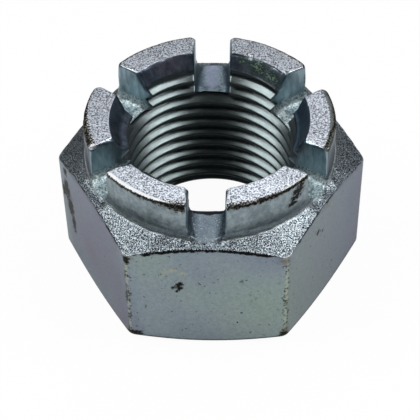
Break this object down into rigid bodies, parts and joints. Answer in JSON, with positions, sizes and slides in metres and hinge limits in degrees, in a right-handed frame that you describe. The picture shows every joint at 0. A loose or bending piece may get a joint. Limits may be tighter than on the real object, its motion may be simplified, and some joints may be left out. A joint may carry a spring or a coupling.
{
  "type": "castle nut",
  "caption": "Hexagon nut with a round slotted crown, so that a cotter pin through the bolt locks it against turning.",
  "frame": {"origin": "middle of the flat bearing face, on the thread's axis", "axes": "+Z along the thread's axis from the bearing face to the slotted crown; X through two opposite corners of the hexagon; -Y out of the flat at the front of the picture"},
  "size_m": [0.062, 0.0542, 0.037],
  "materials": {
    "zinc_plated_steel": "bright zinc plating with a faint blue tint, satin on the flats and bores, coarse grain on the crown's top, shoulder and slot floors"
  },
  "bodies": {
    "root": {"castle_nut": "zinc_plated_steel"}
  },
  "joints": []
}
